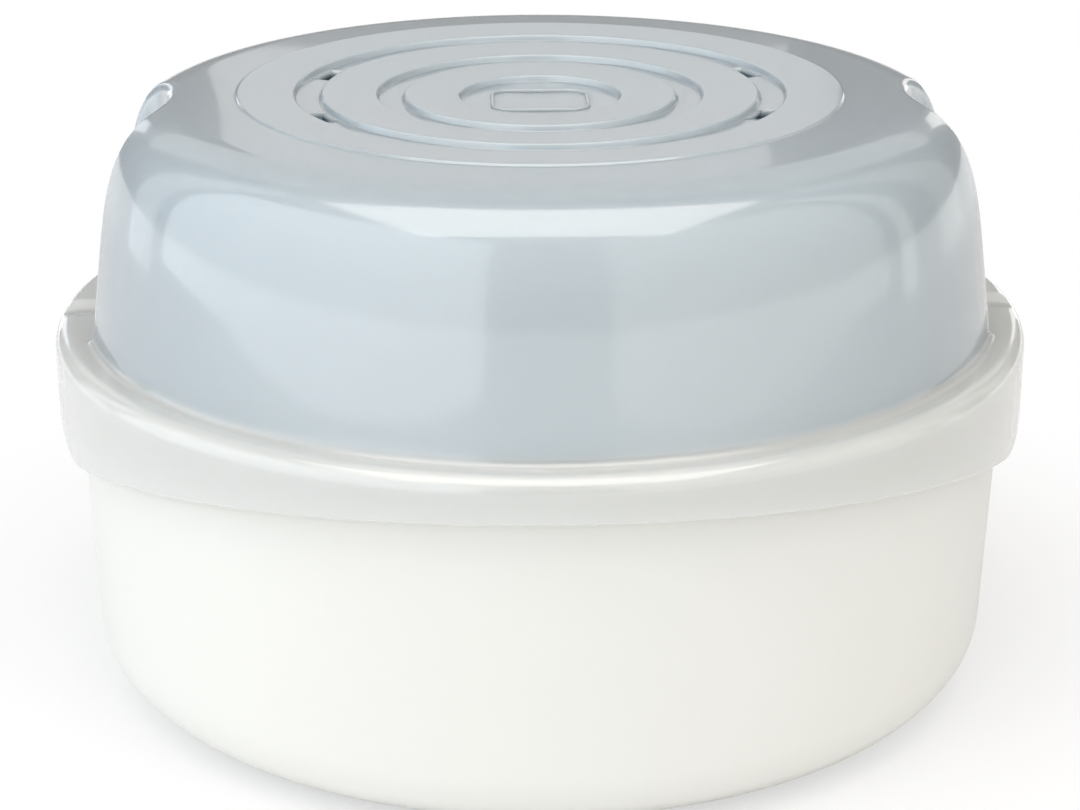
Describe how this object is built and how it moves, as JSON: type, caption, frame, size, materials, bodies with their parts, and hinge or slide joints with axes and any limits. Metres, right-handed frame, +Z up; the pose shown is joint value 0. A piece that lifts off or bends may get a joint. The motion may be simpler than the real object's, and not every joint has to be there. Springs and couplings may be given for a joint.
{
  "type": "microwave bottle sterilizer",
  "caption": "Round microwave steam sterilizer for feeding bottles: white bowl, translucent domed lid with grip recesses, drained bottle rack on legs, centre post, teat basket and tongs",
  "frame": {"origin": "centre of the plane that the bowl's foot ring stands on", "axes": "+Z up along the centre post, X through the two grip recesses of the lid, -Y towards the side that the picture shows"},
  "size_m": [0.2866, 0.2866, 0.1752],
  "materials": {
    "bowl_plastic": "opaque white polypropylene with a satin moulded surface",
    "lid_plastic": "cloudy blue-grey polypropylene with a polished surface",
    "rack_plastic": "white polypropylene with a fine satin surface",
    "tongs_plastic": "pale blue polypropylene with a fine satin surface",
    "pin_plastic": "white acetal with a smooth surface"
  },
  "bodies": {
    "bowl": {"base": "bowl_plastic"},
    "rack": {"bottle_rack": "rack_plastic", "centre_post": "rack_plastic"},
    "basket": {"teat_basket": "rack_plastic"},
    "tongs": {"tongs_lower_arm": "tongs_plastic", "tongs_pin": "pin_plastic"},
    "tongs_arm": {"tongs_upper_arm": "tongs_plastic"},
    "cover": {"lid": "lid_plastic"}
  },
  "joints": [
    {"name": "rack_lift", "type": "slide", "parent": "bowl", "child": "rack", "axis": [0, 0, 1], "range_m": [0, 0.12]},
    {"name": "basket_lift", "type": "slide", "parent": "rack", "child": "basket", "axis": [0, 0, 1], "range_m": [0, 0.06]},
    {"name": "tongs_lift", "type": "slide", "parent": "basket", "child": "tongs", "axis": [0, 0, 1], "range_m": [0, 0.05]},
    {"name": "tongs_open", "type": "hinge", "parent": "tongs", "child": "tongs_arm", "pos_m": [-0.07, 0.022, 0.1404], "axis": [0, 0, 1], "range_deg": [0, 30]},
    {"name": "lid_lift", "type": "slide", "parent": "tongs", "child": "cover", "axis": [0, 0, 1], "range_m": [0, 0.15]}
  ]
}
